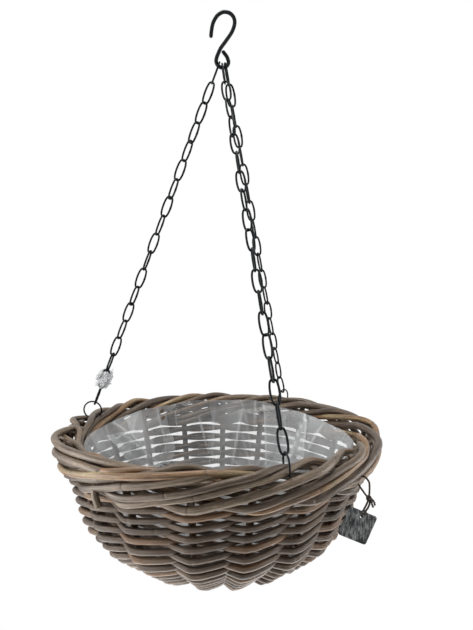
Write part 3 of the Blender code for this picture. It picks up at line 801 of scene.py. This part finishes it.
def border_course(rod):
    """Where a rod's canes lie: stake number, reach, offset and roll."""
    def passing(i):
        cycle, slot = divmod(i + rod, len(BORDER_SLOTS))
        side, reach = BORDER_SLOTS[slot]
        return side, reach, 2 * pi * cycle + (0.0 if side > 0 else pi)

    points = []
    for i in range(-1, len(STAKES) + 2):
        side, reach, roll = passing(i)
        next_side, next_reach, next_roll = passing(i + 1)
        hump = BORDER_HUMP if side > next_side else 0.0
        points.append(Vector((i, reach, side * BORDER_OFFSET, roll)))
        points.append(Vector((
            i + 0.5, (reach + next_reach) / 2 + hump, (side + next_side) / 2 * BORDER_OFFSET,
            (roll + next_roll) / 2,
        )))
    return smooth_path(points, BORDER_STEPS)[2 * BORDER_STEPS:(2 + 2 * len(STAKES)) * BORDER_STEPS]


def add_border():
    for rod, canes in enumerate(BORDER_CANES):
        course = border_course(rod)
        random = np.random.default_rng(BORDER_SEED + rod)
        sway = wander(BORDER_SWAY_SEED + rod, len(course), BORDER_SWAY)
        tubes = Tubes()
        for cane, (size, tone) in enumerate(canes):
            number = rod * 2 + cane
            drift = wander(BORDER_DRIFT_SEED + number, len(course), BORDER_DRIFT)
            half = (0.5 - cane) * size if len(canes) > 1 else 0.0
            path = []
            for (at, reach, offset, roll), stray, lean in zip(course, drift, sway):
                turn = roll + lean * cos(roll) ** 2
                azimuth = stake_azimuth(at) % (2 * pi)
                height = reach - settled(azimuth, reach) + half * cos(turn) + stray
                path.append(in_bowl(azimuth, height, offset - half * sin(turn) + stray / 2))
            radii = swollen(size, BORDER_SWELL_SEED + number, len(path), BORDER_SWELL)
            radii = [r * (1 + BACK_SWELL * max(0.0, p.y / RIM_RADIUS)) for r, p in zip(radii, path)]
            tubes.add(path, radii, sides=BORDER_SIDES, closed=True, tone=tone, start=random.uniform(0, 1))
        if rod == OVER_CANES_ROD:
            add_over_canes(tubes)
        if rod == STUB_ROD:
            add_stub(tubes)
        name = f"border_rod_{rod + 1}"
        obj = tubes.build(name + "_canes", BORDER_CANE)
        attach(obj, "basket")
        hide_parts(name)


# The cut end under the border: azimuth in degrees, reach below the border's top, and offset
STUB_ROUTE = (
    (-132, 0.019, 0.0075), (-131.2, 0.0245, 0.0125), (-130, 0.0305, 0.0152), (-128.8, 0.0355, 0.0165),
)
STUB_DIAMETER = 0.0068


def add_stub(tubes):
    points = [in_bowl(radians(azimuth), TOP_REACH - down, out) for azimuth, down, out in STUB_ROUTE]
    tubes.add(smooth_path(points, 4), STUB_DIAMETER / 2, sides=BORDER_SIDES)


# Liner: film that follows the wall inside, creased and folded, with a cut edge that stands over the rim

LINER_STAND_OFF = 0.015
LINER_AROUND = 420
LINER_UP = 84
LINER_TOP_HEIGHT = 0.003
LINER_FOLD = 0.0042

# The cut edge: how much higher it is at the back, and how far it is lowered all round
EDGE_RISE = 0.0145
EDGE_DROP = 0.007

# Pleats at the back, left of its middle: where, how far to each side, and how deep beside the broad folds
PLEAT_AZIMUTH = radians(118)
PLEAT_SPREAD = radians(22)
PLEAT_SHARE = 0.7

# Straight creases: their number, place up the film, lean in radians and sizes, the width of the painted
# highlights along them, and the bowl's usual radius
CREASE_COUNT = 80
CREASE_SHARES = (0.3, 1.0)
CREASE_LEAN = 0.55
CREASE_WIDTHS = (0.003, 0.013)
CREASE_HEIGHTS = (0.0006, 0.0032)
CREASE_LENGTHS = (0.02, 0.09)
CREASE_LINE = 0.0022
CREASE_RADIUS = 0.14

# Two loose layers: corners as azimuth in degrees and reach, how far the first side stands off the film, and
# how much farther the other does
FILM_LAYERS = (
    (((164, 0.217), (150, 0.213), (126, 0.156), (145, 0.164)), 0.0055, 0.003),
    (((67, 0.24), (41, 0.236), (35, 0.17), (60, 0.142)), 0.0035, -0.001),
)
LAYER_UP = 24
LAYER_AROUND = 16
# How strong the painted highlight along each loose layer's side edges is
LAYER_EDGE_HIGHLIGHT = 0.45


def liner_edge(azimuth):
    """How high the cut edge stands over its usual height."""
    back = max(0.0, sin(azimuth)) ** 2.2
    return EDGE_RISE * back - EDGE_DROP + 0.0012 * sin(5 * azimuth + 2.1) + 0.0008 * sin(11 * azimuth)


def liner_fold(azimuth):
    """How deep the film is folded here, as a share."""
    broad = sin(3 * azimuth + 0.7) * sin(8 * azimuth)
    fine = sin(13 * azimuth + 1.9)
    pleats = sin(41 * azimuth) * max(0.0, 1.0 - abs(azimuth - PLEAT_AZIMUTH) / PLEAT_SPREAD)
    return max(0.0, broad + 0.5 * fine) + PLEAT_SHARE * pleats


def crease_table(top):
    """The azimuth, reach, lean, width, height and length of each of the creases."""
    random = np.random.default_rng(CREASE_SEED)
    azimuths = random.uniform(0, 2 * pi, CREASE_COUNT)
    reaches = random.uniform(*CREASE_SHARES, CREASE_COUNT) * top
    leans = random.normal(0.0, CREASE_LEAN, CREASE_COUNT)
    sizes = (random.uniform(*span, CREASE_COUNT) for span in (CREASE_WIDTHS, CREASE_HEIGHTS, CREASE_LENGTHS))
    return azimuths, reaches, leans, *sizes


def creases(table, azimuth, reach):
    """How far the creases lift the film here, and how near the sharpest one is, which sets its painted
    highlight.
    """
    azimuths, reaches, leans, widths, heights, lengths = table
    around = ((azimuth - azimuths + pi) % (2 * pi) - pi) * CREASE_RADIUS
    up = reach - reaches
    across = around * np.cos(leans) - up * np.sin(leans)
    along = around * np.sin(leans) + up * np.cos(leans)
    fade = np.clip(1.0 - (along / lengths) ** 2, 0.0, 1.0)
    ridge = np.clip(1.0 - np.abs(across) / widths, 0.0, 1.0) * fade
    line = np.clip(1.0 - np.abs(across) / CREASE_LINE, 0.0, 1.0) * fade * heights / CREASE_HEIGHTS[1]
    return float((ridge * heights).max()), float(line.max())


def film_grid(shape, points, faces, rows, columns, closed=False):
    """Adds a grid of film: shape gives a point and the strength of the painted highlight on its creases by
    row and column.
    """
    faces += grid_faces(len(points), rows, columns, closed)
    points += [shape(k, j) for k in range(rows) for j in range(columns)]


def add_liner():
    top = reach_where(LINE, 1, LINER_TOP_HEIGHT)
    table = crease_table(top)

    def bowl(k, j):
        share = k / (LINER_UP - 1)
        azimuth = 2 * pi * j / LINER_AROUND
        height = top * share + liner_edge(azimuth) * share**6
        lift, highlight = creases(table, azimuth, height)
        slack = min(1.0, share * 1.6)
        offset = -LINER_STAND_OFF - LINER_FOLD * slack * liner_fold(azimuth) - lift * slack
        return in_bowl(azimuth, height, offset), highlight * slack

    def layer(corners, lift, tilt):
        def place(k, j):
            u, v = j / (LAYER_AROUND - 1), k / (LAYER_UP - 1)
            first = Vector(corners[0]) * (1 - u) + Vector(corners[1]) * u
            last = Vector(corners[3]) * (1 - u) + Vector(corners[2]) * u
            azimuth, reach = first * (1 - v) + last * v
            raised, highlight = creases(table, radians(azimuth), reach)
            bow = 0.0012 * sin(9 * u + 4 * v) * sin(7 * v)
            offset = -LINER_STAND_OFF - lift - tilt * u - raised * 0.6 - bow
            edge = LAYER_EDGE_HIGHLIGHT if j in (0, LAYER_AROUND - 1) else 0.0
            return in_bowl(radians(azimuth), reach, offset), max(highlight, edge)
        return place

    points, faces = [], []
    film_grid(bowl, points, faces, LINER_UP, LINER_AROUND, closed=True)
    for corners, lift, tilt in FILM_LAYERS:
        film_grid(layer(corners, lift, tilt), points, faces, LAYER_UP, LAYER_AROUND)
    verts, highlights = zip(*points)
    obj = new_object("liner", verts, faces, LINER_FILM)
    add_attribute(obj, "crease_highlight", highlights)
    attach(obj, "basket")
    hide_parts("liner_film")
    return obj


# Hook, chains and rings


def hook_point(share):
    x, y, down = share
    return Vector((x * HOOK_HALF_WIDTH, y * HOOK_SIDE_STEP, HOOK_WIRE / 2 - down * HOOK_DEPTH))


EYE_CENTRE = Vector((0.0, 0.0, HOOK_WIRE / 2 - HOOK_DEPTH))
EYE_STEPS = 14


def eye_point(angle):
    """The place on the eye's wire at this angle from its lowest point."""
    sway = HOOK_SIDE_STEP * angle / EYE_WRAP
    return EYE_CENTRE + Vector((EYE_RADIUS * sin(angle), sway, -EYE_RADIUS * cos(angle)))


# How thick a wire's very end is, as a share
TIP_SHARE = 0.15


def round_end(path, radius):
    """Radii that round off both ends of a wire."""
    reach = lengths_along(path)
    edges = [min(1.0, at / radius, (reach[-1] - at) / radius) for at in reach]
    return [radius * max(TIP_SHARE, (1 - (1 - edge) ** 2) ** 0.5) for edge in edges]


def add_hook():
    eye = [eye_point(EYE_WRAP * (2 * k / EYE_STEPS - 1)) for k in range(EYE_STEPS + 1)]
    points = [hook_point(share) for share in HOOK_SHARES] + eye
    points += [hook_point(share) for share in HOOK_TAIL_SHARES]
    path = smooth_path(points, 6)
    tubes = Tubes()
    tubes.add(path, round_end(path, HOOK_WIRE / 2), sides=HOOK_SIDES)
    obj = tubes.build("hook_wire", BLACK_WIRE)
    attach(obj, "hook")
    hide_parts("hook")


# The links as seen: enamel thickens the wire, more so at the weld, and the sides bow out. A chain's first
# link is thinner and straighter, to stay clear of the hook's eye
ENAMEL = 1.06
EYE_LINK_SHARE = 0.88
WELD_SHARE = 1.14
OVAL_POWER = 0.56
EYE_LINK_POWER = 0.4
LINK_STEPS = 28
RING_STEPS = 48

# How far a chain reaches: within a run each link bites a little into the next, and between runs there is play
LINK_END = LINK_LENGTH - LINK_WIRE
EYE_CLEAR = HOOK_WIRE / 2 + LINK_WIRE / 2 + EYE_PLAY
RING_CLEAR = RING_WIRE / 2 + LINK_WIRE / 2 + LINK_PLAY
OPEN_JOINTS = len(LINKS_PER_RUN) - 1
FUSED_JOINTS = sum(LINKS_PER_RUN) - 1 - OPEN_JOINTS
FUSED_PITCH = LINK_END - (LINK_WIRE - LINK_BITE)
OPEN_PITCH = LINK_END - (LINK_WIRE + LINK_PLAY)
CHAIN_LENGTH = LINK_END + FUSED_JOINTS * FUSED_PITCH + OPEN_JOINTS * OPEN_PITCH - EYE_CLEAR - RING_CLEAR


def chain_frame(name):
    """The seat on the eye and the wire's direction there, then the ring's centre, pull and axis."""
    hang, turn = (radians(angle) for angle in CHAINS[name])
    seat = eye_point(hang)
    tangent = Vector((cos(hang), 0.0, sin(hang)))
    centre = middle_of(f"rim_ring_{name}")
    pull = (seat - centre).normalized()
    azimuth = atan2(centre.y, centre.x)
    sideways = Vector((-sin(azimuth), cos(azimuth), 0.0))
    square = (sideways - pull * sideways.dot(pull)).normalized()
    return seat, tangent, centre, pull, square * cos(turn) + pull.cross(square) * sin(turn)


def link_matrices(name):
    """Where each link is between eye and ring, and how it is turned."""
    seat, tangent, centre, pull, axis = chain_frame(name)
    down = -pull
    length = (centre - seat).length - RING_ARM
    spare = (length - CHAIN_LENGTH) / (OPEN_JOINTS + 2)
    first = down.cross(tangent).normalized()
    last = axis if first.dot(axis) > 0 else -axis
    twist = atan2(first.cross(last).dot(down), first.dot(last))
    travelled = LINK_END / 2 - EYE_CLEAR + spare
    turns = [radians(turn) for turn in LINK_TURNS[name]] + [twist - pi / 2, twist]
    matrices = []
    for links in LINKS_PER_RUN:
        for k in range(links):
            turn = turns[len(matrices)]
            width = first * cos(turn) + down.cross(first) * sin(turn)
            spin = Matrix((width, width.cross(down), -down)).transposed()
            matrices.append(Matrix.Translation(seat + down * travelled) @ spin.to_4x4())
            travelled += OPEN_PITCH + spare if k == links - 1 else FUSED_PITCH
    return matrices


def link_outline(power):
    """An oval of bent wire: the lower the power, the straighter its sides."""
    half = (LINK_WIDTH - LINK_WIRE) / 2
    return [
        Vector((half * abs(across) ** power * (1 if across > 0 else -1), 0.0, LINK_END / 2 * along))
        for across, along in circle(LINK_STEPS)
    ]


def chain_body(name, run):
    return "basket" if run in (0, len(LINKS_PER_RUN) - 1) else f"chain_{name}"


def add_chain(name):
    matrices = link_matrices(name)
    index = 0
    for run, links in enumerate(LINKS_PER_RUN):
        tubes = Tubes()
        for _ in range(links):
            outline = link_outline(OVAL_POWER if index else EYE_LINK_POWER)
            radii = [(ENAMEL if index else EYE_LINK_SHARE) * LINK_WIRE / 2] * LINK_STEPS
            radii[LINK_STEPS // 2] *= WELD_SHARE
            tubes.add([matrices[index] @ point for point in outline], radii, sides=WIRE_SIDES, closed=True)
            index += 1
        node = f"chain_{name}_run_{run + 1}"
        obj = tubes.build(node + "_links", BLACK_WIRE)
        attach(obj, chain_body(name, run))
        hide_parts(node)


def add_ring(name):
    _, _, centre, pull, axis = chain_frame(name)
    side = axis.cross(pull)
    path = [centre + pull * (RING_ARM * up) + side * (RING_ARM * out) for up, out in circle(RING_STEPS)]
    tubes = Tubes()
    tubes.add(path, ENAMEL * RING_WIRE / 2, sides=WIRE_SIDES, closed=True)
    obj = tubes.build(f"rim_ring_{name}_wire", BLACK_WIRE)
    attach(obj, f"ring_{name}")
    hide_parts(f"rim_ring_{name}")


# Clear wrap: a crumpled scrap of film round one link of the left chain, in two layers, with a loose wisp

WRAP_LINK = 18
WRAP_LENGTH = 0.0205
WRAP_RADIUS = 0.0088
WRAP_LAYERS = (1, 0.8)

# Its radius at its gathered ends, how much more it has between them, how far it is crushed, and how flat
WRAP_NECK = 0.42
WRAP_BELLY = 0.58
WRAP_CRUSH = 0.14
WRAP_FLAT = 0.88
WRAP_AROUND = 22
WRAP_UP = 12
WISP = (
    (0.003, 0.0004, 0.0085), (0.0052, 0, 0.0085), (0.0048, 0.0006, 0.014), (0.0062, 0.0004, 0.0165),
    (0.007, -0.0006, 0.0135), (0.008, 0, 0.01),
)
WISP_FACES = ((0, 1, 2), (1, 4, 2), (2, 4, 3), (1, 5, 4))


def add_wrap():
    matrix = link_matrices("left")[WRAP_LINK - 1]
    random = np.random.default_rng(WRAP_SEED)
    crush = random.normal(0.0, WRAP_CRUSH, (WRAP_UP + 1, WRAP_AROUND))
    verts, faces = [], []
    for layer, grow in enumerate(WRAP_LAYERS):
        for k in range(WRAP_UP + 1):
            share = k / WRAP_UP
            z = WRAP_LENGTH * (share - 0.5)
            swell = WRAP_RADIUS * grow * (WRAP_NECK + WRAP_BELLY * sin(pi * (0.08 + 0.84 * share)) ** 0.6)
            for j in range(WRAP_AROUND):
                angle = 2 * pi * (j + 0.5 * layer) / WRAP_AROUND
                radius = swell * (1 + crush[k][(j + 5 * layer) % WRAP_AROUND])
                slip = 0.0011 * sin(5 * angle + 9 * share)
                place = Vector((radius * cos(angle), WRAP_FLAT * radius * sin(angle), z + slip))
                verts.append(matrix @ place)
        for a, b, c, d in grid_faces(layer * (WRAP_UP + 1) * WRAP_AROUND, WRAP_UP + 1, WRAP_AROUND):
            faces += [(a, b, c), (a, c, d)]
    base = len(verts)
    verts += [matrix @ Vector(point) for point in WISP]
    faces += [tuple(base + corner for corner in face) for face in WISP_FACES]
    obj = new_object("clear_wrap", verts, faces, WRAP_FILM, smooth=False)
    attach(obj, "basket")
    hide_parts("chain_wrap")


# Tag and twine


def add_twine():
    path = smooth_path([RIM_CENTRE + Vector(point) for point in TWINE_ROUTE], 5)
    tubes = Tubes()
    tubes.add(path, TWINE_DIAMETER / 2, sides=WIRE_SIDES)
    obj = tubes.build("tag_twine_cord", TWINE)
    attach(obj, "tag")
    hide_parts("tag_twine")
    return obj, path


# The knot, at a point of the twine's route, and the hitch at the hole: loops by lean in radians and height
KNOT_POINT = 7
KNOT_LOOPS = ((0.5, 0.0009), (-0.6, -0.0009), (1.3, 0.0))
KNOT_RADIUS = 0.0017
LOOP_STEPS = 16
HITCH_PLACE = (-0.0052, -0.004, -0.013)
HITCH_RADIUS = 0.002

# What hangs at the knot: a second strand from the border, its return to the hitch, and two tails. Their radii
# and how much the tails fray are shares of the twine's diameter
LOOSE_RADIUS = 0.52
TAIL_RADIUS = 0.42
TAIL_FRAY = 0.1
STRANDS = (
    ((-0.0115, 0.0085, 0.0125), (-0.0095, 0.0035, 0.012), (-0.0075, -0.001, 0.0095),
     (-0.0035, -0.0012, 0.004), (0, 0, 0)),
    ((0, 0, 0), (0.0008, -0.0012, -0.004), (-0.001, -0.0022, -0.0085), (-0.0045, -0.0034, -0.0125),
     (-0.0062, -0.005, -0.0148), (-0.007, -0.0058, -0.016)),
)
TAILS = (
    ((0, 0, 0), (0.0022, -0.0012, -0.0022), (0.003, -0.001, -0.0055), (0.0042, -0.0014, -0.0085)),
    ((0, 0, 0), (0.003, 0.0004, -0.0012), (0.0052, -0.0004, -0.004), (0.0058, -0.0008, -0.0068)),
)


def add_knot():
    knot = RIM_CENTRE + Vector(TWINE_ROUTE[KNOT_POINT])
    tubes = Tubes()
    for routes, steps, share, fray in ((STRANDS, 6, LOOSE_RADIUS, 0), (TAILS, 5, TAIL_RADIUS, TAIL_FRAY)):
        for route in routes:
            path = smooth_path([knot + Vector(step) for step in route], steps)
            radii = [TWINE_DIAMETER * (share + fray * (k % 3)) for k in range(len(path))]
            tubes.add(path, radii, sides=KNOT_SIDES)
    for centre, radius in ((knot, KNOT_RADIUS), (knot + Vector(HITCH_PLACE), HITCH_RADIUS)):
        for turn, (lean, rise) in enumerate(KNOT_LOOPS):
            tilt = Matrix.Rotation(lean, 3, "X") @ Matrix.Rotation(turn, 3, "Z")
            loop = [centre + tilt @ Vector((radius * x, radius * y, rise)) for x, y in circle(LOOP_STEPS)]
            tubes.add(loop, TWINE_DIAMETER / 2, sides=KNOT_SIDES, closed=True)
    obj = tubes.build("tag_twine_knot", TWINE)
    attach(obj, "tag")


def finish_tag():
    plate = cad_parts["tag_plate"]
    plate.data.materials.clear()
    plate.data.materials.append(TAG_BLACK)
    return plate


# Stage


def any_ray(tree, *kinds):
    """1 for a ray of any of these kinds, else 0."""
    path = tree.nodes.new("ShaderNodeLightPath")
    total = path.outputs[kinds[0]]
    for kind in kinds[1:]:
        either = tree.nodes.new("ShaderNodeMath")
        either.operation = "MAXIMUM"
        tree.links.new(total, either.inputs[0])
        tree.links.new(path.outputs[kind], either.inputs[1])
        total = either.outputs[0]
    return total


def stage_material():
    """White to the camera, also through what is clear, and pale to the light."""
    stage = Shader("stage_white", 0.9)
    stage.colour((0.8, 0.8, 0.8, 1.0))
    white = stage.node("ShaderNodeEmission", Color=(1.0, 1.0, 1.0, 1.0))
    seen = any_ray(stage.tree, "Is Camera Ray", "Is Transmission Ray")
    mixed = stage.tree.nodes.new("ShaderNodeMixShader")
    for socket, value in zip(mixed.inputs, (seen, stage.shader.outputs[0], white.outputs[0])):
        stage.put(socket, value)
    stage.put(stage.tree.nodes["Material Output"].inputs["Surface"], mixed.outputs[0])
    return stage.material


FLOOR_DROP = 0.75
FLOOR_HALF = 6.0


def add_floor():
    low = CAD_BOX[0][2] - FLOOR_DROP
    corners = [Vector((x * FLOOR_HALF, y * FLOOR_HALF, low)) for x, y in ((-1, -1), (1, -1), (1, 1), (-1, 1))]
    floor = new_object("floor", corners, [(0, 1, 2, 3)], stage_material(), smooth=False)


WORLD_LIGHT = 0.27


def add_world():
    """White to the camera, in reflections and through what is clear, and dimmer as a light."""
    world = bpy.data.worlds.new("studio")
    bpy.context.scene.world = world
    world.use_nodes = True
    tree = world.node_tree
    background = tree.nodes["Background"]
    background.inputs["Color"].default_value = (1.0, 1.0, 1.0, 1.0)
    strength = tree.nodes.new("ShaderNodeMapRange")
    strength.inputs["To Min"].default_value = WORLD_LIGHT
    strength.inputs["To Max"].default_value = 1.0
    seen = any_ray(tree, "Is Camera Ray", "Is Glossy Ray", "Is Transmission Ray")
    tree.links.new(seen, strength.inputs["Value"])
    tree.links.new(strength.outputs[0], background.inputs["Strength"])


# Broad soft lights round the planter: the place of each from the middle of the rim, its size and its power
LAMPS = (
    ("left_lamp", (-1.25, -0.2, -0.14), 1, 22),
    ("right_lamp", (1.25, 0, -0.12), 1, 14),
    ("top_lamp", (-0.15, -0.05, 1.25), 0.7, 15),
    ("table_lamp", (0, 0.15, -0.75), 1.4, 13),
)


def add_lamps():
    for name, step, size, power in LAMPS:
        light = bpy.data.lights.new(name, "AREA")
        light.shape = "DISK"
        light.size = size
        light.energy = power
        lamp = link_object(name, light)
        place = RIM_CENTRE + Vector(step)
        lamp.location = place
        lamp.rotation_euler = (RIM_CENTRE - place).to_track_quat("-Z", "Y").to_euler()
        lamp.visible_camera = False


def add_camera():
    camera = link_object("camera", bpy.data.cameras.new("camera"))
    camera.data.sensor_fit = "HORIZONTAL"
    camera.data.sensor_width = SENSOR_WIDTH
    camera.data.lens = CAMERA_FOCAL_PIXELS / PHOTO_WIDTH_PIXELS * SENSOR_WIDTH
    place = Matrix.Translation((0.0, -CAMERA_DISTANCE, RIM_Z + CAMERA_HEIGHT))
    turn = Matrix.Rotation(CAMERA_YAW, 4, "Z") @ Matrix.Rotation(pi / 2 - CAMERA_PITCH, 4, "X")
    camera.matrix_world = place @ turn @ Matrix.Rotation(CAMERA_ROLL, 4, "Z")
    bpy.context.scene.camera = camera


# The planter on its stage


add_camera()
twine, twine_path = add_twine()
plate = finish_tag()
add_rows()
add_stakes()
add_border()
liner = add_liner()
add_hook()
for chain in CHAINS:
    add_chain(chain)
    add_ring(chain)
add_wrap()
add_knot()
add_world()
add_floor()
add_lamps()
bpy.context.scene.view_settings.view_transform = "Standard"
